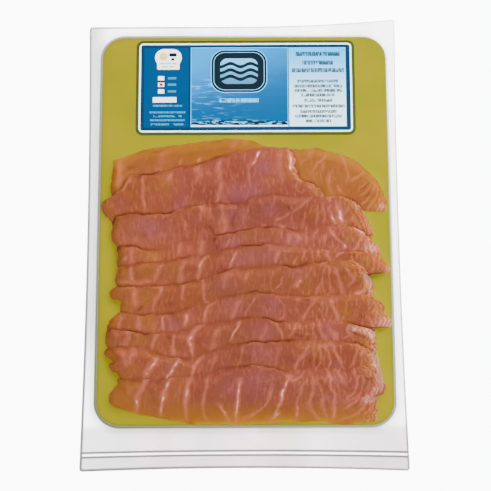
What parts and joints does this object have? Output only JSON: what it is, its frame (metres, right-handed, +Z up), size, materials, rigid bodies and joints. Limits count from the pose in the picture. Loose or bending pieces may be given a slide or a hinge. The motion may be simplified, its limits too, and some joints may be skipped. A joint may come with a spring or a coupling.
{
  "type": "pack of smoked salmon",
  "caption": "Clear flat sealed pouch holding overlapping slices of smoked salmon on a gold card, with a printed label across its upper end.",
  "frame": {"origin": "on the flat underside, below the middle of the pouch", "axes": "+Y along the pouch from the sealed end to the label's end, +Z up out of the front of the pack, +X to the right as the label is read"},
  "size_m": [0.232, 0.34, 0.007],
  "materials": {
    "pouch_film": "clear smooth film, shining, drawn tight on what it holds",
    "label_paper": "coated paper sticker printed in blues with a white border",
    "gold_card": "metallised board, satin yellow gold",
    "salmon": "moist smoked fish flesh, orange pink with paler lines of fat"
  },
  "bodies": {
    "root": {"pouch": "pouch_film", "label": "label_paper"}
  },
  "joints": []
}
